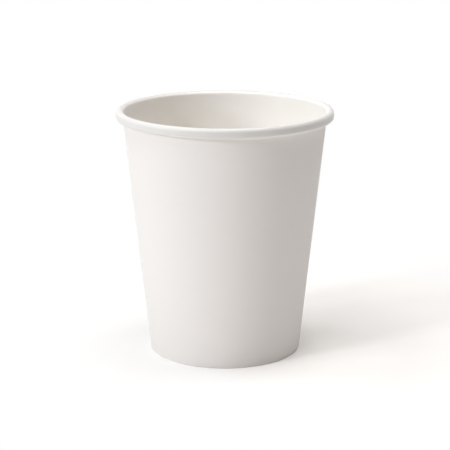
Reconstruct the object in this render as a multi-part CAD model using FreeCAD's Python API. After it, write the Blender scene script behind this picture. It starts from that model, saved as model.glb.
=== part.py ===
"""Single-wall paper cup for hot drinks, of the size that takes an 80 mm lid.

Two pieces of coated board, welded together by their coating:

side_wall  one blank wrapped into a cone. Its ends lap in a side seam, its top edge is rolled
           outwards into the rim, and its bottom edge is turned in and up as the hem.
base_disc  one disc with its edge drawn down as a skirt. The skirt is held between the wall
           and the hem, so the disc stands clear of the table.

The frame: Z is the cup's axis, pointing up, and the origin is the centre of the foot, on the
table. Both pieces are folded strips: the section follows the middle of the board, in r and z,
and is turned about Z. Sizes are in millimetres and angles in degrees.
"""

import FreeCAD
import Part
import math
import os

# Outside of the cup
cup_height = 91.0
rim_diameter = 80.0
foot_diameter = 56.4

# Board, and the coating that welds the two pieces together
wall_board = 0.36
base_board = 0.30
weld_film = 0.03

# Rolled rim: an oval roll, a little taller than wide, whose edge curls on inside it
rim_width = 2.85
rim_height = 3.7
rim_tuck_gap = 0.05
curl_tightening = 0.68
curl_turn = 105.0

# Foot: how high the disc stands, and how its skirt and the hem end
base_recess = 8.5
base_corner = 0.75
hem_end_gap = 1.5
skirt_end_gap = 0.25

# Side seam: a proud outer layer, cut square at one edge and rising softly at the other
seam_angle = 15.0
seam_width = 6.5
seam_step = 0.25
seam_rise_width = 1.6
seam_press_height = 4.0
seam_pressed_step = 0.05
seam_root = 0.15

# Line where the inner end of the blank shows inside, pressed shut near the fold and the roll
end_line_width = 0.16
end_line_depth = 0.12
end_line_margin = 1.0

# The wall's slant, from the foot to the middle of the rim
rim_radius = rim_diameter / 2
foot_radius = foot_diameter / 2
slope = (rim_radius - rim_width + wall_board - foot_radius) / (cup_height - rim_height / 2)
slant = math.atan(slope)
lean = math.cos(slant)
wall_heading = 90 - math.degrees(slant)
half_wall = wall_board / 2
CENTRE = FreeCAD.Vector(0, 0, 0)
AXIS = FreeCAD.Vector(0, 0, 1)


def heading_vector(degrees):
    """Unit vector in the r-z plane, at an angle counted from the r axis towards Z."""
    return FreeCAD.Vector(math.cos(math.radians(degrees)), 0, math.sin(math.radians(degrees)))


up_wall = heading_vector(wall_heading)
off_wall = heading_vector(wall_heading - 90)


def wall_radius(z, depth=0.0):
    """Radius, at height z, of the cone that lies depth inside the wall's outer face."""
    return foot_radius + slope * z - depth / lean


def strip_face(start, heading, moves, offsets):
    """The section of a folded strip, as a face in the r-z plane.

    The strip's line starts at start and sets off along heading. A move is ("run", length) or
    ("bend", radius, turn), and a turn to the left is positive. The strip's two faces lie at the
    two offsets, counted leftwards from its line. A bend may be sharp on its inner side.
    """
    place = start
    edges = []

    def cap():
        left = heading_vector(heading + 90)
        return Part.makeLine(place + left * offsets[0], place + left * offsets[1])

    edges.append(cap())
    for kind, *sizes in moves:
        left = heading_vector(heading + 90)
        if kind == "run":
            end = place + heading_vector(heading) * sizes[0]
            edges += [Part.makeLine(place + left * off, end + left * off) for off in offsets]
            place = end
            continue
        radius, turn = sizes
        side = math.copysign(1, turn)
        hub = place + left * (radius * side)
        spokes = [heading_vector(heading + share * turn - 90 * side) for share in (0, 0.5, 1)]
        for off in offsets:
            reach = radius - off * side
            if reach > 1e-6:
                edges.append(Part.Arc(*[hub + spoke * reach for spoke in spokes]).toShape())
        place = hub + spokes[2] * radius
        heading += turn
    edges.append(cap())
    return Part.Face(Part.Wire(Part.sortEdges(edges)[0]))


def rim_moves():
    """The rolled rim, as the wall's middle line runs over, down, back under and up inside.

    The roll's outer face touches the full height and the full diameter, and comes back to
    within rim_tuck_gap of the wall.
    """
    to_rim = lean * (rim_radius - wall_radius(cup_height))
    top = (to_rim + wall_board) / (1 + lean * (1 - slope))
    to_wall = lean * (rim_radius - wall_radius(cup_height - rim_height)) - rim_tuck_gap
    bottom = to_wall / (1 + lean * (1 + slope))
    return [
        ("bend", top - half_wall, -90 - wall_heading),
        ("run", rim_height - top - bottom),
        ("bend", bottom - half_wall, -180),
        ("bend", (bottom - half_wall) * curl_tightening, -curl_turn),
    ]


def foot_moves():
    """The fold at the foot: the hem's line turns out under the skirt and up into the wall."""
    return [
        ("bend", half_wall, 180 - wall_heading),
        ("run", (base_board + 2 * weld_film) / lean),
        ("bend", half_wall, wall_heading),
    ]


def wall_ends():
    """Where the wall's middle line leaves the fold at the foot, and where it meets the roll."""
    low_hub = FreeCAD.Vector(wall_radius(wall_board, wall_board), 0, wall_board)
    roll_radius = rim_moves()[0][1]
    roll_hub = FreeCAD.Vector(
        rim_radius - roll_radius - half_wall, 0, cup_height - roll_radius - half_wall
    )
    return low_hub + off_wall * half_wall, roll_hub - off_wall * roll_radius


def seam_outline(z, step):
    """Plan of the seam's outer layer at height z, standing step proud of the wall."""
    edge, rise = seam_width / 2, seam_width / 2 + seam_rise_width

    def on_circle(radius, y):
        return FreeCAD.Vector(math.sqrt(radius**2 - y**2), y, z)

    skin, root, face = wall_radius(z), wall_radius(z, seam_root), wall_radius(z) + step
    cut_root, cut_top = on_circle(root, edge), on_circle(face, edge)
    soft_top, soft_skin, soft_root = (
        on_circle(face, -edge),
        on_circle(skin, -rise),
        on_circle(root, -rise),
    )
    return Part.Wire(
        [
            Part.makeLine(cut_root, cut_top),
            Part.Arc(cut_top, FreeCAD.Vector(face, 0, z), soft_top).toShape(),
            Part.makeLine(soft_top, soft_skin),
            Part.makeLine(soft_skin, soft_root),
            Part.Arc(soft_root, FreeCAD.Vector(root, 0, z), cut_root).toShape(),
        ]
    )


def seam_layer():
    """The lapped outer end of the blank, pressed flat at the foot and rolled into the rim."""
    lower_bend = rim_moves()[2][1] + half_wall
    return Part.makeLoft(
        [
            seam_outline(wall_board, seam_pressed_step),
            seam_outline(seam_press_height, seam_step),
            seam_outline(cup_height - rim_height + lower_bend, seam_step),
        ],
        True,
        True,
    )


def end_line():
    """The line left by the inner end of the blank, up the inside of the wall."""
    foot, roll = wall_ends()
    start = foot + up_wall * end_line_margin
    moves = [("run", (roll - foot).Length - 2 * end_line_margin)]
    faces = (half_wall - end_line_depth, half_wall + end_line_depth)
    section = strip_face(start, wall_heading, moves, faces)
    y = seam_width / 2
    middle = wall_radius(cup_height / 2)
    section.translate(FreeCAD.Vector(math.sqrt(middle**2 - y**2) - middle, -y, 0))
    return section.extrude(FreeCAD.Vector(0, end_line_width, 0))


def side_wall():
    """Wrapped wall with its rolled rim, hem and lapped side seam."""
    foot, roll = wall_ends()
    across_fold = foot_moves()[1][1]
    hem_foot = foot - off_wall * wall_board - FreeCAD.Vector(across_fold, 0, 0)
    hem_run = (base_recess - hem_end_gap - hem_foot.z) / lean
    moves = [
        ("run", hem_run),
        *foot_moves(),
        ("run", (roll - foot).Length),
        *rim_moves(),
    ]
    start = hem_foot + up_wall * hem_run
    section = strip_face(start, wall_heading - 180, moves, (-half_wall, half_wall))
    wall = section.revolve(CENTRE, AXIS, 360)
    wall = wall.fuse(seam_layer()).removeSplitter()
    wall = wall.cut(end_line())
    wall.rotate(CENTRE, AXIS, seam_angle)
    return wall


def base_disc():
    """Flat disc whose edge is drawn down as a skirt that follows the wall's slant."""
    half_base = base_board / 2
    bend = base_corner - half_base
    hub_z = base_recess + base_board - base_corner
    hub = FreeCAD.Vector(wall_radius(hub_z, wall_board + weld_film + base_corner), 0, hub_z)
    skirt_top = hub + off_wall * bend
    skirt_run = (skirt_top.z - wall_board - skirt_end_gap) / lean
    moves = [
        ("run", skirt_run),
        ("bend", bend, 180 - wall_heading),
        ("run", hub.x),
    ]
    start = skirt_top - up_wall * skirt_run
    section = strip_face(start, wall_heading, moves, (-half_base, half_base))
    return section.revolve(CENTRE, AXIS, 360)


def main():
    os.makedirs("parts", exist_ok=True)
    for name, make in {"side_wall": side_wall, "base_disc": base_disc}.items():
        shape = make()
        shape.exportStep(os.path.join("parts", name + ".step"))
        print(f"{name}: {len(shape.Solids)} solid, {shape.Volume:.1f} cubic millimetres")


main()
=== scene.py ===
"""Paper cup for hot drinks: the wrapped wall and the base disc, finished as coated board.

The wall is one strip of board, folded at the foot and rolled at the rim, swept round the cup's
axis. Its lapped side seam, the knurled hem and the small unevenness of bent board are then
worked into the mesh. Lengths are in metres.
"""

import math

import bmesh
import bpy
from bpy.props import FloatProperty, FloatVectorProperty, IntProperty, PointerProperty
from bpy.types import Operator, Panel, PropertyGroup
from mathutils import Matrix, Vector, noise


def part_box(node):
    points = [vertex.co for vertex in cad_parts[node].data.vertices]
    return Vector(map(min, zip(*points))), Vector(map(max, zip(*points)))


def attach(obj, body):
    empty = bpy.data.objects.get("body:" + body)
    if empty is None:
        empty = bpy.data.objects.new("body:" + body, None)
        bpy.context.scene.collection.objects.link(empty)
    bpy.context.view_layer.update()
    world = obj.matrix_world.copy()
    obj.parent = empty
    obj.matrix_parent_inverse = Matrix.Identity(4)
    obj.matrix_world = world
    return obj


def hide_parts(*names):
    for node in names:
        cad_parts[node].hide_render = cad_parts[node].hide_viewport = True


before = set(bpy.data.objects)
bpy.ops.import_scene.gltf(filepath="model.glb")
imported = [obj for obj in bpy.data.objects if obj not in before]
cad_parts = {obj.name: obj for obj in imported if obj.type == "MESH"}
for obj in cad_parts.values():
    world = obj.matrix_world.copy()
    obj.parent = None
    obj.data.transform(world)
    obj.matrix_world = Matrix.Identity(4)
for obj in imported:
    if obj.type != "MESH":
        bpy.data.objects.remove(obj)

bl_info = {
    "name": "Paper Cup",
    "version": (1, 0, 0),
    "blender": (4, 5, 0),
    "location": "3D View > Sidebar > Cup",
    "description": "Builds a single-wall paper cup and its stage",
    "category": "Object",
}

MM = 0.001
WALL_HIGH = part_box("side_wall")[1]
BASE_LOW, BASE_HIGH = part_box("base_disc")
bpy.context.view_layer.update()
AXIS = Vector((0, 0, 1))
SIDEWAYS = Vector((0, -1, 0))
BLACK, WHITE = (0.0, 0.0, 0.0), (1.0, 1.0, 1.0)

# Points closer than this are one, a vertex this near a face of the board belongs to it, and
# faces that meet at more than this angle have a sharp edge
SAME_PLACE = 1e-7
FACE_SLACK = 0.02 * MM
SHARP_ANGLE = math.radians(38)

# Steps along the two strips, in the order in which they are folded
HEM_STEPS, FOLD_STEPS, WALL_STEPS = 9, 5, 60
ROLL_TOP_STEPS, ROLL_SIDE_STEPS, ROLL_FOOT_STEPS, CURL_STEPS = 18, 3, 16, 7
SKIRT_STEPS, CORNER_STEPS, DISC_STEPS = 6, 8, 18

# The blank's cut edges drop over this width. Faces this near to them get new columns, and so
# does the soft rise, at these shares of its width
EDGE_WIDTH = 0.03 * MM
CUT_REACH = 2 * MM
RISE_SHARES = (0, 0.25, 0.5, 0.75, 1)

# What the attribute named coated says of a vertex; the material shows the last as bare fibre
BARE, COATED, CUT_FIBRE = 0.0, 1.0, 0.5

# The lap never lies quite flat, and it ends where the wall runs into the roll
PRESSED_SHARE = 0.2
PRESS_START = 0.3 * MM
LAP_FADE = (-0.2 * MM, 1.2 * MM)

# The rim swells away from a point under the middle of its roll, softly at both edges
SWELL_DROP = 0.6 * MM
SWELL_RISE, SWELL_FALL = 0.1 * MM, 1.4 * MM
RIM_LINE_DEPTH = 0.05 * MM

# The knurl fades at both edges of the hem, and the unevenness at the foot and under the rim
KNURL_FADE = (0.9 * MM, 1.6 * MM)
FOOT_FADE = (6 * MM, 22 * MM)
RIM_FADE = (9 * MM, 2 * MM)
RIM_STIFFNESS = 0.75

# The bands of unevenness: how many times the pattern fits round and up, and its shift upwards
SLOW_BANDS = (1.7, 9, 0)
QUICK_BANDS = (5.2, 16, 3)
QUICK_SHARE = 0.35

# Board seen close: fibres lie level, and clouds and fibres tint it between two tones
LEVEL_SQUEEZE = (1, 1, 1.9)
DARK_TINT, LIGHT_TINT = (0.94, 0.935, 0.925), (1.06, 1.065, 1.075)
FLECK_SCALE, FLECK_RANGE = 0.36, (0.70, 0.80)
FLECK_SHARE, FLECK_TONE = 0.10, 0.75
FINE_SCALE, SOFT_SCALE = 0.7, 3

# How far past the wall's inner face the rim's painted shade fades in, and how much a cut edge
# shows
RIM_SHADE_RANGE = (0.3 * MM, 1.2 * MM)
CUT_RANGE, CUT_SHARE = (0.02, 0.2), 0.8

# What fibres and cut edges add to the roughness, and the parts of the relief. The coating
# takes this much of the fine part away
FIBRE_ROUGHNESS, CUT_ROUGHNESS = 0.14, 0.15
FINE_RELIEF, COATING_FILL, SOFT_RELIEF = 0.5, 0.32, 0.35
BUMP_STRENGTH = 0.30


class CupSizes(PropertyGroup):
    """Sizes of the folded board, which match the solids they dress."""

    height: FloatProperty(
        name="Height", description="Foot to the top of the rim", subtype="DISTANCE",
        default=WALL_HIGH.z,
    )
    rim_radius: FloatProperty(
        name="Rim radius", description="Outside of the rolled rim", subtype="DISTANCE",
        default=40.0 * MM,
    )
    foot_radius: FloatProperty(
        name="Foot radius", description="Outside of the wall, drawn on to the table",
        subtype="DISTANCE", default=28.2 * MM,
    )
    wall_board: FloatProperty(
        name="Wall board", description="Thickness of the wall's board", subtype="DISTANCE",
        default=0.36 * MM,
    )
    base_board: FloatProperty(
        name="Base board", description="Thickness of the base's board", subtype="DISTANCE",
        default=0.30 * MM,
    )
    weld_film: FloatProperty(
        name="Weld film", description="Coating between wall, skirt and hem",
        subtype="DISTANCE", default=0.03 * MM,
    )
    rim_width: FloatProperty(
        name="Rim width", description="Wall's inner face to the outside of the roll",
        subtype="DISTANCE", default=2.85 * MM,
    )
    rim_height: FloatProperty(
        name="Rim height", description="Top to bottom of the roll", subtype="DISTANCE",
        default=3.7 * MM,
    )
    tuck_gap: FloatProperty(
        name="Tuck gap", description="Between the roll and the wall", subtype="DISTANCE",
        default=0.05 * MM,
    )
    curl_tightening: FloatProperty(
        name="Curl tightening", description="Last bend's radius against the bend before it",
        default=0.68, min=0.3, max=1.0,
    )
    curl_turn: FloatProperty(
        name="Curl turn", description="Turn of the last bend, inside the roll",
        subtype="ANGLE", default=math.radians(105),
    )
    base_corner: FloatProperty(
        name="Base corner", description="Outer radius of the bend from disc to skirt",
        subtype="DISTANCE", default=0.75 * MM,
    )
    hem_end_gap: FloatProperty(
        name="Hem end gap", description="Underside of the disc to the hem's edge",
        subtype="DISTANCE", default=1.5 * MM,
    )
    columns: IntProperty(
        name="Columns", description="Steps round the cup, two for each rib of the knurl",
        default=240, min=24, max=480,
    )


class SeamSizes(PropertyGroup):
    """The lapped side seam."""

    angle: FloatProperty(
        name="Seam angle", description="From the right towards the back", subtype="ANGLE",
        default=math.radians(15),
    )
    width: FloatProperty(
        name="Lap width", description="Between the two cut ends of the blank",
        subtype="DISTANCE", default=6.5 * MM,
    )
    step: FloatProperty(
        name="Lap step", description="Outer layer's rise above the wall", subtype="DISTANCE",
        default=0.25 * MM,
    )
    rise_width: FloatProperty(
        name="Rise width", description="Where the outer layer climbs over the inner end",
        subtype="DISTANCE", default=1.6 * MM,
    )
    pressed_height: FloatProperty(
        name="Pressed height", description="The lap is flattened below this height",
        subtype="DISTANCE", default=4.0 * MM,
    )
    line_width: FloatProperty(
        name="Line width", description="Groove at the inner end of the blank",
        subtype="DISTANCE", default=0.16 * MM,
    )
    line_depth: FloatProperty(
        name="Line depth", description="Depth of that groove", subtype="DISTANCE",
        default=0.12 * MM,
    )
    roll_swell: FloatProperty(
        name="Roll swell", description="How much the doubled board swells the rim",
        subtype="DISTANCE", default=0.09 * MM,
    )


class BoardFinish(PropertyGroup):
    """Colour and surface of the board."""

    outside: FloatVectorProperty(
        name="Outside", description="Bare white board", subtype="COLOR",
        default=(0.862, 0.835, 0.814), min=0, max=1,
    )
    # Partly the coated side's own white, partly painted light: brightened to stand in for light
    # bouncing inside the cup
    coated: FloatVectorProperty(
        name="Coated side", description="White board under its clear coating",
        subtype="COLOR", default=(0.99, 0.965, 0.925), min=0, max=1,
    )
    # Painted shade: the coated board toned darker on the base disc, which light from above reaches
    # most
    base: FloatVectorProperty(
        name="Base", description="Coated board of the base disc", subtype="COLOR",
        default=(0.84, 0.815, 0.78), min=0, max=1,
    )
    # Painted shade: the coated side's tone darkened round the rim
    rolled: FloatVectorProperty(
        name="Rolled side", description="Coating drawn thin round the rim", subtype="COLOR",
        default=(0.77, 0.755, 0.74), min=0, max=1,
    )
    cut_edge: FloatVectorProperty(
        name="Cut edge", description="Bare fibre where the board is cut", subtype="COLOR",
        default=(0.74, 0.70, 0.64), min=0, max=1,
    )
    cloud_scale: FloatProperty(
        name="Cloud scale", description="Clouds per metre in the sheet", default=260,
    )
    cloud_contrast: FloatProperty(
        name="Cloud contrast", description="How much the clouds change the tone", default=0.10,
    )
    fibre_scale: FloatProperty(
        name="Fibre scale", description="Fibres per metre across the sheet", default=2400,
    )
    fibre_contrast: FloatProperty(
        name="Fibre contrast", description="How much the fibres change the tone", default=0.07,
    )
    bare_roughness: FloatProperty(
        name="Bare roughness", description="Roughness of the board outside", default=0.60,
    )
    coated_roughness: FloatProperty(
        name="Coated roughness", description="Roughness of the coated side", default=0.40,
    )
    relief: FloatProperty(
        name="Relief", description="Height of the fibres, for the light alone",
        subtype="DISTANCE", default=0.02 * MM,
    )
    unevenness: FloatProperty(
        name="Unevenness", description="How far the bent board strays from round",
        subtype="DISTANCE", default=0.09 * MM,
    )
    knurl_depth: FloatProperty(
        name="Knurl depth", description="Ribs pressed into the hem", subtype="DISTANCE",
        default=0.07 * MM,
    )


class StageLight(PropertyGroup):
    """Camera, floor and lamps."""

    camera_place: FloatVectorProperty(
        name="Camera place", description="Where the camera stands", subtype="TRANSLATION",
        default=(0, -0.54887, 0.19151),
    )
    camera_pitch: FloatProperty(
        name="Camera pitch", description="How far the camera looks down", subtype="ANGLE",
        default=math.radians(14.78),
    )
    camera_lens: FloatProperty(
        name="Lens", description="Focal length in millimetres", default=121.27,
    )
    floor_size: FloatProperty(
        name="Floor size", description="Side of the floor", subtype="DISTANCE", default=6.0,
    )
    floor_colour: FloatVectorProperty(
        name="Floor colour", description="White floor that takes the shadow", subtype="COLOR",
        default=(0.94, 0.924, 0.905), min=0, max=1,
    )
    floor_lift: FloatProperty(
        name="Floor lift", description="White added to the floor where the camera sees it",
        default=0.075, min=0, max=1,
    )
    shadow_middle: FloatVectorProperty(
        name="Shadow middle", description="Middle of the floor that keeps its shadow",
        subtype="TRANSLATION", default=(0.05, 0.02, 0),
    )
    shadow_reach: FloatProperty(
        name="Shadow reach", description="The floor keeps its shadow this far from its middle",
        subtype="DISTANCE", default=0.045,
    )
    clear_reach: FloatProperty(
        name="Clear reach", description="The floor is plain white this far from the middle",
        subtype="DISTANCE", default=0.125,
    )
    lamp_distance: FloatProperty(
        name="Lamp distance", description="From the middle of the cup", subtype="DISTANCE",
        default=2.5,
    )
    lamp_aim: FloatProperty(
        name="Lamp aim", description="Height that the lamps face", subtype="DISTANCE",
        default=0.045,
    )
    room_grey: FloatProperty(
        name="Room grey", description="Even light from all round", default=0.03, min=0, max=1,
    )


class Wire:
    """A node's output. Sums of wires and numbers add the Math nodes that work them out."""

    def __init__(self, board, socket):
        self.board = board
        self.socket = socket

    def math(self, operation, *values):
        return self.board.node("ShaderNodeMath", {"operation": operation}, dict(enumerate(values)))

    def __add__(self, other):
        return self.math("ADD", self, other)

    def __sub__(self, other):
        return self.math("SUBTRACT", self, other)

    def __mul__(self, other):
        return self.math("MULTIPLY", self, other)

    def __rsub__(self, other):
        return self.math("SUBTRACT", other, self)

    def larger(self, other):
        return self.math("MAXIMUM", self, other)

    __radd__ = __add__

    def ramp(self, low, high):
        """0 up to low, 1 from high on, and smooth between."""
        settings = {"interpolation_type": "SMOOTHSTEP"}
        return self.board.node("ShaderNodeMapRange", settings, {0: self, 1: low, 2: high})


class NodeBoard:
    """The node tree of one material or world, emptied and ready to be filled."""

    def __init__(self, owner):
        owner.use_nodes = True
        self.tree = owner.node_tree
        self.tree.nodes.clear()

    def node(self, kind, settings=None, inputs=None, output=0):
        """Adds a node, with its settings first, then the values or wires of its inputs."""
        made = self.tree.nodes.new(kind)
        for name, value in (settings or {}).items():
            setattr(made, name, value)
        for name, value in (inputs or {}).items():
            if isinstance(value, Wire):
                self.tree.links.new(value.socket, made.inputs[name])
            else:
                made.inputs[name].default_value = value
        return Wire(self, made.outputs[output]) if len(made.outputs) else None

    def blend(self, mask, first, second):
        """Colour that goes from first to second as mask goes from 0 to 1."""
        first, second = (c if isinstance(c, Wire) else (*c, 1) for c in (first, second))
        settings = {"data_type": "RGBA"}
        return self.node("ShaderNodeMix", settings, {0: mask, 6: first, 7: second}, output=2)

    def seen(self):
        """1 for rays from the camera and from gloss or glass, 0 for rays that light things."""
        camera, gloss, glass = (
            self.node("ShaderNodeLightPath", output=name)
            for name in ("Is Camera Ray", "Is Glossy Ray", "Is Transmission Ray")
        )
        return camera.larger(gloss).larger(glass)

    def noise(self, place, scale, detail=2.0, roughness=0.5):
        inputs = {"Vector": place, "Scale": scale, "Detail": detail, "Roughness": roughness}
        return self.node("ShaderNodeTexNoise", {"noise_dimensions": "3D"}, inputs)


class BoardPattern:
    """What the look of coated board is mixed from, as wires that run from 0 to 1."""

    def __init__(self, board, finish, roll_inside):
        place = board.node("ShaderNodeTexCoord", output="Object")
        flat = board.node("ShaderNodeMapping", {}, {"Vector": place, "Scale": (1, 1, 0)})
        level = board.node("ShaderNodeMapping", {}, {"Vector": place, "Scale": LEVEL_SQUEEZE})
        coated = board.node("ShaderNodeAttribute", {"attribute_name": "coated"}, output="Fac")
        radius = board.node(
            "ShaderNodeVectorMath", {"operation": "LENGTH"}, {0: flat}, output="Value"
        )
        fleck_scale = finish.fibre_scale * FLECK_SCALE

        # Which side this is, where the board is cut, and where the rim takes its painted shade
        self.coated = coated
        self.cut = (coated * (1 - coated) * 4).ramp(*CUT_RANGE)
        self.drawn = radius.ramp(*[roll_inside + past for past in RIM_SHADE_RANGE])

        # Slow clouds from the pulp, fibres that lie level, and rare darker flecks
        self.clouds = board.noise(place, finish.cloud_scale, detail=3, roughness=0.55)
        self.fibres = board.noise(level, finish.fibre_scale, detail=3, roughness=0.6)
        self.flecks = board.noise(level, fleck_scale, detail=1).ramp(*FLECK_RANGE)

        # Relief: the fibres that stand up, and the softer waves under the coating
        self.fine = board.noise(level, finish.fibre_scale * FINE_SCALE, detail=4, roughness=0.65)
        self.soft = board.noise(place, finish.cloud_scale * SOFT_SCALE, detail=2)


def board_tone(board, pattern, finish, inside):
    """The board's colour: its two sides with painted shade round the rim, then clouds and fibres,
    flecks and cut edges.
    """
    shade = (pattern.clouds - 0.5) * finish.cloud_contrast
    shade = shade + (pattern.fibres - 0.5) * finish.fibre_contrast
    # The coated side takes painted shade round the rim, from the rolled tone
    coated_with_rim_shade = board.blend(pattern.drawn, inside, finish.rolled)
    tone = board.node(
        "ShaderNodeMix", {"data_type": "RGBA", "blend_type": "MULTIPLY"},
        {
            0: 1.0,
            6: board.blend(pattern.coated, finish.outside, coated_with_rim_shade),
            7: board.blend(0.5 + shade, DARK_TINT, LIGHT_TINT),
        },
        output=2,
    )
    fleck_tone = [channel * FLECK_TONE for channel in finish.cut_edge]
    tone = board.blend(pattern.flecks * FLECK_SHARE, tone, fleck_tone)
    return board.blend(pattern.cut * CUT_SHARE, tone, finish.cut_edge)


def board_roughness(pattern, finish):
    """Rougher bare board and cut edges, and a smoother coated side."""
    smoother = pattern.coated * (finish.bare_roughness - finish.coated_roughness)
    fibres = (pattern.fibres - 0.5) * FIBRE_ROUGHNESS
    return finish.bare_roughness - smoother + fibres + pattern.cut * CUT_ROUGHNESS


def board_normal(board, pattern, finish):
    """Fine relief of the fibres, which the coating fills to about a third."""
    fine = pattern.fine * (FINE_RELIEF - pattern.coated * COATING_FILL)
    height = fine + pattern.soft * SOFT_RELIEF
    inputs = {"Strength": BUMP_STRENGTH, "Distance": finish.relief, "Height": height}
    return board.node("ShaderNodeBump", {}, inputs)


def board_material(name, finish, inside, roll_inside):
    """Coated board: clouded and faintly fibrous, with a smoother, glossier coated side.

    The coated side has the colour inside up to the radius roll_inside. Beyond it the rim takes
    the rolled tone, a darker painted shade.
    """
    material = bpy.data.materials.new(name)
    board = NodeBoard(material)
    pattern = BoardPattern(board, finish, roll_inside)
    shader = board.node(
        "ShaderNodeBsdfPrincipled", {},
        {
            "Base Color": board_tone(board, pattern, finish, inside),
            "Roughness": board_roughness(pattern, finish),
            "Normal": board_normal(board, pattern, finish),
            "IOR": 1.46,
            "Specular IOR Level": 0.42,
        },
    )
    board.node("ShaderNodeOutputMaterial", {}, {"Surface": shader})
    return material


def heading_vector(angle):
    """Direction in the plane of X and Z, at an angle counted from X towards Z."""
    return Vector((math.cos(angle), 0, math.sin(angle)))


class Strip:
    """One folded strip of board, drawn in the plane of X and Z as the line of its middle.

    A move is ("run", length, steps) or ("bend", radius, turn, steps); left turns are positive.
    """

    def __init__(self, bm, board, start, heading, moves):
        self.bm = bm
        self.coated = bm.verts.layers.float.new("coated")
        self.half = board / 2
        self.start, self.heading, self.moves = start, heading, moves

    def face(self, offset, coated):
        """Draws the strip's face at an offset leftwards of its middle; returns its two ends."""
        place, heading = self.start.copy(), self.heading
        first = last = self.bm.verts.new(place + heading_vector(heading + math.pi / 2) * offset)
        first[self.coated] = coated
        for kind, *sizes in self.moves:
            left = heading_vector(heading + math.pi / 2)
            if kind == "run":
                length, steps = sizes
                for _ in range(steps):
                    last = bmesh.ops.extrude_vert_indiv(self.bm, verts=[last])["verts"][0]
                    last.co += heading_vector(heading) * (length / steps)
                place += heading_vector(heading) * length
                continue
            radius, turn, steps = sizes
            hub = place + left * math.copysign(radius, turn)
            swept = bmesh.ops.spin(
                self.bm, geom=[last], cent=hub, axis=SIDEWAYS, angle=turn, steps=steps,
                use_duplicate=False,
            )
            last = [item for item in swept["geom_last"] if isinstance(item, bmesh.types.BMVert)][0]
            place = hub + Matrix.Rotation(turn, 3, SIDEWAYS) @ (place - hub)
            heading += turn
        return first, last

    def section(self, right_side, left_side):
        """Draws both faces, each bare or coated, and the two cut edges between them."""
        ends = [self.face(-self.half, right_side), self.face(self.half, left_side)]
        for one, other in zip(*ends):
            if (one.co - other.co).length > SAME_PLACE:
                self.bm.edges.new((one, other))


def sweep_round(bm, columns):
    """Sweeps everything drawn so far round the cup's axis, and closes it."""
    bmesh.ops.spin(
        bm, geom=bm.verts[:] + bm.edges[:], cent=(0, 0, 0), axis=AXIS, angle=math.tau,
        steps=columns, use_merge=True, use_duplicate=False,
    )
    bmesh.ops.remove_doubles(bm, verts=bm.verts[:], dist=SAME_PLACE)
    bmesh.ops.recalc_face_normals(bm, faces=bm.faces[:])


def finish_piece(name, bm, node, material):
    """Turns a bmesh into a piece that stands for a node and rides on the cup."""
    mesh = bpy.data.meshes.new(name)
    bm.to_mesh(mesh)
    bm.free()
    mesh.shade_smooth()
    mesh.set_sharp_from_angle(angle=SHARP_ANGLE)
    mesh.materials.append(material)
    piece = bpy.data.objects.new(name, mesh)
    bpy.context.scene.collection.objects.link(piece)
    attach(piece, "root")
    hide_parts(node)


class WallShape:
    """The wall's slanting line, and the moves that fold the foot and roll the rim."""

    def __init__(self, cup):
        self.cup = cup
        rise = cup.height - cup.rim_height / 2
        self.slope = (cup.rim_radius - cup.rim_width + cup.wall_board - cup.foot_radius) / rise
        self.lean = math.cos(math.atan(self.slope))
        self.heading = math.pi / 2 - math.atan(self.slope)
        self.up = heading_vector(self.heading)
        self.out = heading_vector(self.heading - math.pi / 2)

        to_rim = self.lean * (cup.rim_radius - self.radius(cup.height))
        self.top = (to_rim + cup.wall_board) / (1 + self.lean * (1 - self.slope))
        to_wall = self.lean * (cup.rim_radius - self.radius(cup.height - cup.rim_height))
        self.bottom = (to_wall - cup.tuck_gap) / (1 + self.lean * (1 + self.slope))
        self.roll_hub = Vector((cup.rim_radius - self.top, 0, cup.height - self.top))
        self.roll_foot = cup.height - cup.rim_height
        self.hem_top = BASE_HIGH.z - cup.base_board - cup.hem_end_gap

    def radius(self, z, depth=0.0):
        """Radius at height z of the cone that lies depth inside the wall's outer face."""
        return self.cup.foot_radius + self.slope * z - depth / self.lean

    def depth(self, vert):
        """How far a vertex lies inside the wall's outer face."""
        return (self.radius(vert.co.z) - vert.co.to_2d().length) * self.lean

    def section(self, bm):
        """Draws the wall's folded strip, from the hem's edge to the end of the curl."""
        cup, half = self.cup, self.cup.wall_board / 2
        outer_hub = Vector((self.radius(cup.wall_board, cup.wall_board), 0, cup.wall_board))
        foot = outer_hub + self.out * half
        roll = self.roll_hub - self.out * (self.top - half)
        across = (cup.base_board + 2 * cup.weld_film) / self.lean
        hem_foot = outer_hub - Vector((across, 0, 0)) - self.out * half
        hem_run = (self.hem_top - hem_foot.z) / self.lean
        roll_side = cup.rim_height - self.top - self.bottom
        curl = (self.bottom - half) * cup.curl_tightening
        moves = [
            ("run", hem_run, HEM_STEPS),
            ("bend", half, math.pi - self.heading, FOLD_STEPS),
            ("run", across, 1),
            ("bend", half, self.heading, FOLD_STEPS),
            ("run", (roll - foot).length, WALL_STEPS),
            ("bend", self.top - half, -math.pi / 2 - self.heading, ROLL_TOP_STEPS),
            ("run", roll_side, ROLL_SIDE_STEPS),
            ("bend", self.bottom - half, -math.pi, ROLL_FOOT_STEPS),
            ("bend", curl, -cup.curl_turn, CURL_STEPS),
        ]
        start = hem_foot + self.up * hem_run
        Strip(bm, cup.wall_board, start, self.heading - math.pi, moves).section(BARE, COATED)


def smooth(value, low, high):
    """0 up to low, 1 from high on, and smooth between."""
    share = min(max((value - low) / (high - low), 0), 1)
    return share * share * (3 - 2 * share)


def outward(vert):
    """Level direction from the cup's axis to a vertex."""
    return Vector((vert.co.x, vert.co.y, 0)).normalized()


def seam_directions(seam):
    """Level directions from the axis to the middle of the seam, and across the seam."""
    cos, sin = math.cos(seam.angle), math.sin(seam.angle)
    return Vector((cos, sin, 0)), Vector((-sin, cos, 0))


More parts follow.
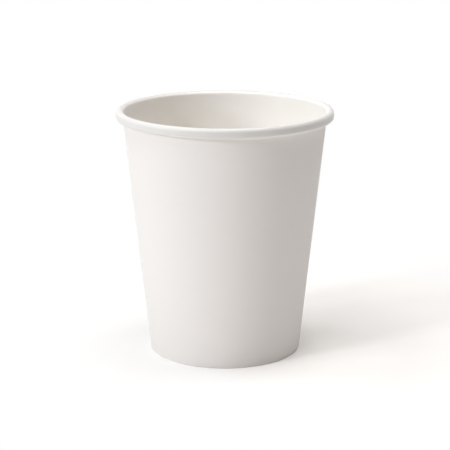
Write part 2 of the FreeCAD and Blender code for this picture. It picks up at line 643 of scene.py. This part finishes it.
def cut_across_seam(bm, seam):
    """Adds columns of vertices along the edges of the lap and of the end line."""
    along, across = seam_directions(seam)
    half = seam.width / 2
    lap = [half, half + EDGE_WIDTH, half - 4 * EDGE_WIDTH]
    rise = [-half - seam.rise_width * share for share in RISE_SHARES]
    line_start = -half - seam.line_width
    line = [line_start, line_start - EDGE_WIDTH, -half - EDGE_WIDTH]
    for y in [*lap, *rise, *line]:
        near = [
            face for face in bm.faces
            if (middle := face.calc_center_median()).dot(along) > 0
            and abs(middle.dot(across) - y) < CUT_REACH
        ]
        geom = dict.fromkeys(item for face in near for item in (face, *face.edges, *face.verts))
        bmesh.ops.bisect_plane(
            bm, geom=list(geom), dist=SAME_PLACE / 10, plane_co=across * y, plane_no=across
        )


def work_seam(bm, shape, seam):
    """Raises the lap outside, grooves the end line inside, and swells the rim over the lap."""
    coated = bm.verts.layers.float["coated"]
    along, across = seam_directions(seam)
    half, board = seam.width / 2, shape.cup.wall_board
    line_start, roll_foot = -half - seam.line_width, shape.roll_foot
    for vert in bm.verts:
        y, z = vert.co.dot(across), vert.co.z
        if vert.co.dot(along) < 0 or abs(y) > half + seam.rise_width * 1.2:
            continue
        radial = outward(vert)
        square = 1 - smooth(y, half + EDGE_WIDTH * 0.2, half + EDGE_WIDTH * 0.8)
        soft = smooth(y, -half - seam.rise_width, -half)
        line = smooth(y, line_start - EDGE_WIDTH, line_start)
        line *= 1 - smooth(y, -half - EDGE_WIDTH, -half)
        in_wall = -FACE_SLACK < shape.depth(vert) < board * 1.2
        if in_wall and vert[coated] < CUT_FIBRE and z > board * 0.8:
            flat = 1 - smooth(z, PRESS_START, seam.pressed_height)
            room = 1 - smooth(z, roll_foot + LAP_FADE[0], roll_foot + LAP_FADE[1])
            height = seam.step * (1 - (1 - PRESSED_SHARE) * flat)
            vert.co += radial * height * square * soft * room
            if abs(y - half) < EDGE_WIDTH * 0.1:
                vert[coated] = CUT_FIBRE
        elif in_wall and vert[coated] > CUT_FIBRE and z < roll_foot:
            vert.co += radial * seam.line_depth * line
        elif vert[coated] > CUT_FIBRE and z >= roll_foot:
            from_hub = vert.co - radial * shape.roll_hub.x
            from_hub.z = z - shape.roll_hub.z + SWELL_DROP
            bulge = smooth(y, -half - SWELL_RISE, -half) * (1 - smooth(y, half - SWELL_FALL, half))
            vert.co += from_hub.normalized() * (seam.roll_swell * bulge - RIM_LINE_DEPTH * line)
            vert.co.z = min(vert.co.z, shape.cup.height)


def press_knurl(bm, shape, finish):
    """Presses the ribs of the crimping tool into the hem's inner face."""
    cup, hem_top = shape.cup, shape.hem_top
    step = math.tau / cup.columns
    inner = 2 * cup.wall_board + cup.base_board + 2 * cup.weld_film
    near, far = KNURL_FADE
    for vert in bm.verts:
        z = vert.co.z
        if abs(shape.depth(vert) - inner) > FACE_SLACK or z > hem_top:
            continue
        column = round(math.atan2(vert.co.y, vert.co.x) / step)
        band = smooth(z, near, far) * (1 - smooth(z, hem_top - far, hem_top - near))
        vert.co += outward(vert) * finish.knurl_depth * band * (column % 2)


def bend_unevenly(bm, shape, finish):
    """Lets the wall stray from round as bent board does, in bands that run up the cup."""
    height = shape.cup.height

    def bands(radial, z, times_round, times_up, shift):
        place = (radial.x * times_round, radial.y * times_round, z * times_up + shift)
        return noise.noise(Vector(place))

    for vert in bm.verts:
        radial, z = outward(vert), vert.co.z
        stray = bands(radial, z, *SLOW_BANDS) + QUICK_SHARE * bands(radial, z, *QUICK_BANDS)
        free = smooth(z, *FOOT_FADE)
        free *= 1 - RIM_STIFFNESS * smooth(z, *[height - below for below in RIM_FADE])
        vert.co += radial * finish.unevenness * stray * free


class CUP_OT_wall(Operator):
    """Builds the wrapped wall with its rolled rim, hem and side seam"""

    bl_idname = "cup.wall"
    bl_label = "Side Wall"

    def execute(self, context):
        scene = context.scene
        cup, seam, finish = scene.cup_sizes, scene.seam_sizes, scene.board_finish
        shape = WallShape(cup)
        bm = bmesh.new()
        shape.section(bm)
        sweep_round(bm, cup.columns)
        press_knurl(bm, shape, finish)
        cut_across_seam(bm, seam)
        work_seam(bm, shape, seam)
        bend_unevenly(bm, shape, finish)
        roll_inside = cup.rim_radius - cup.rim_width
        # The coated colour carries painted light for the inside of the cup
        material = board_material("wall_board", finish, finish.coated, roll_inside)
        finish_piece("cup_wall", bm, "side_wall", material)
        return {"FINISHED"}


class CUP_OT_base(Operator):
    """Builds the base disc with its skirt"""

    bl_idname = "cup.base"
    bl_label = "Base Disc"

    def execute(self, context):
        cup, finish = context.scene.cup_sizes, context.scene.board_finish
        shape = WallShape(cup)
        half = cup.base_board / 2
        bend = cup.base_corner - half
        hub_z = BASE_HIGH.z - cup.base_corner
        depth = cup.wall_board + cup.weld_film + cup.base_corner
        hub = Vector((shape.radius(hub_z, depth), 0, hub_z))
        skirt_top = hub + shape.out * bend
        skirt_run = (skirt_top.z - BASE_LOW.z) / shape.lean
        moves = [
            ("run", skirt_run, SKIRT_STEPS),
            ("bend", bend, math.pi - shape.heading, CORNER_STEPS),
            ("run", hub.x, DISC_STEPS),
        ]
        bm = bmesh.new()
        start = skirt_top - shape.up * skirt_run
        Strip(bm, cup.base_board, start, shape.heading, moves).section(COATED, BARE)
        sweep_round(bm, cup.columns)
        # The base tone is the coated board darkened as painted shade
        material = board_material("base_board", finish, finish.base, cup.rim_radius)
        finish_piece("cup_base", bm, "base_disc", material)
        return {"FINISHED"}


def add_area_lamp(name, stage, turn, height, side, power, colour):
    """Adds a square lamp that faces the middle of the cup."""
    lamp = bpy.data.lights.new(name, "AREA")
    lamp.shape = "SQUARE"
    lamp.size = side
    lamp.energy = power
    lamp.color = colour
    away = Matrix.Rotation(math.radians(turn), 3, AXIS) @ heading_vector(math.radians(height))
    holder = bpy.data.objects.new(name, lamp)
    holder.location = Vector((0, 0, stage.lamp_aim)) + away * stage.lamp_distance
    holder.rotation_euler = (-away).to_track_quat("-Z", "Y").to_euler()
    bpy.context.scene.collection.objects.link(holder)


# Each soft lamp: its turn from the right towards the back and its angle above level, both in
# degrees, then its side in metres, its watts and its colour
LAMPS = {
    "key": (215, 26, 0.4, 16.2, (0.955, 0.98, 1.0)),
    "key_side": (199, 17, 0.4, 11.6, (0.91, 0.965, 1.0)),
    "front_top": (235, 60, 1.0, 11.6, (1.0, 0.97, 0.97)),
    "left_top": (165, 60, 1.0, 13.0, (1.0, 0.99, 1.0)),
    "overhead": (0, 90, 1.0, 12.5, (0.99, 0.995, 1.0)),
    "right_top": (18, 77, 1.0, 25.5, (1.0, 0.975, 0.95)),
    "front_fill": (290, 25, 1.0, 1.5, (1.0, 0.80, 0.60)),
}


def floor_material(stage):
    """White floor: it keeps the cup's shadow, and clears to plain white away from it."""
    material = bpy.data.materials.new("floor")
    board = NodeBoard(material)
    place = board.node("ShaderNodeTexCoord", output="Object")
    reach = board.node(
        "ShaderNodeVectorMath", {"operation": "DISTANCE"}, {0: place, 1: stage.shadow_middle},
        output="Value",
    )
    seen = board.seen()
    surface = board.node(
        "ShaderNodeBsdfPrincipled", {},
        {
            "Base Color": (*stage.floor_colour, 1),
            "Roughness": 0.9,
            "Specular IOR Level": 0.0,
            "Emission Color": board.blend(seen, BLACK, WHITE),
            "Emission Strength": stage.floor_lift,
        },
    )
    white = board.node("ShaderNodeEmission", {}, {"Color": (*WHITE, 1), "Strength": 1.0})
    clear = seen * reach.ramp(stage.shadow_reach, stage.clear_reach)
    mixed = board.node("ShaderNodeMixShader", {}, {0: clear, 1: surface, 2: white})
    board.node("ShaderNodeOutputMaterial", {}, {"Surface": mixed})
    return material


class CUP_OT_stage(Operator):
    """Adds the camera, the pale floor, the lamps and the white surroundings"""

    bl_idname = "cup.stage"
    bl_label = "Stage"

    def execute(self, context):
        scene = context.scene
        stage = scene.stage_light
        self.add_camera(scene, stage)
        self.add_floor(scene, stage)
        for name, lamp in LAMPS.items():
            add_area_lamp(name, stage, *lamp)
        self.add_world(scene, stage)
        scene.view_settings.view_transform = "Standard"
        return {"FINISHED"}

    def add_camera(self, scene, stage):
        camera = bpy.data.cameras.new("camera")
        camera.lens = stage.camera_lens
        camera.clip_start, camera.clip_end = 0.01, 20
        holder = bpy.data.objects.new("camera", camera)
        holder.location = stage.camera_place
        holder.rotation_euler = (math.pi / 2 - stage.camera_pitch, 0, 0)
        scene.collection.objects.link(holder)
        scene.camera = holder

    def add_floor(self, scene, stage):
        bm = bmesh.new()
        bmesh.ops.create_grid(bm, x_segments=8, y_segments=8, size=stage.floor_size / 2)
        mesh = bpy.data.meshes.new("floor")
        bm.to_mesh(mesh)
        bm.free()
        mesh.materials.append(floor_material(stage))
        floor = bpy.data.objects.new("floor", mesh)
        scene.collection.objects.link(floor)

    def add_world(self, scene, stage):
        world = bpy.data.worlds.new("surroundings")
        scene.world = world
        board = NodeBoard(world)
        colour = board.blend(board.seen(), [stage.room_grey] * 3, WHITE)
        light = board.node("ShaderNodeBackground", {}, {"Color": colour, "Strength": 1.0})
        board.node("ShaderNodeOutputWorld", {}, {"Surface": light})


class CUP_PT_panel(Panel):
    """Lists the cup's sizes, finishes and builders"""

    bl_label = "Paper Cup"
    bl_idname = "CUP_PT_panel"
    bl_space_type = "VIEW_3D"
    bl_region_type = "UI"
    bl_category = "Cup"

    def draw(self, context):
        layout = self.layout
        for group in PROPERTY_GROUPS:
            settings = getattr(context.scene, group)
            column = layout.column(align=True)
            column.label(text=group.replace("_", " ").capitalize())
            for name in settings.__annotations__:
                column.prop(settings, name)
        for operator in (CUP_OT_wall, CUP_OT_base, CUP_OT_stage):
            layout.operator(operator.bl_idname)


PROPERTY_GROUPS = {
    "cup_sizes": CupSizes,
    "seam_sizes": SeamSizes,
    "board_finish": BoardFinish,
    "stage_light": StageLight,
}
CLASSES = (*PROPERTY_GROUPS.values(), CUP_OT_wall, CUP_OT_base, CUP_OT_stage, CUP_PT_panel)


def register():
    for cls in CLASSES:
        bpy.utils.register_class(cls)
    for name, group in PROPERTY_GROUPS.items():
        setattr(bpy.types.Scene, name, PointerProperty(type=group))


def unregister():
    for name in PROPERTY_GROUPS:
        delattr(bpy.types.Scene, name)
    for cls in reversed(CLASSES):
        bpy.utils.unregister_class(cls)


def main():
    register()
    bpy.ops.cup.stage()
    bpy.ops.cup.wall()
    bpy.ops.cup.base()


if __name__ == "__main__":
    main()
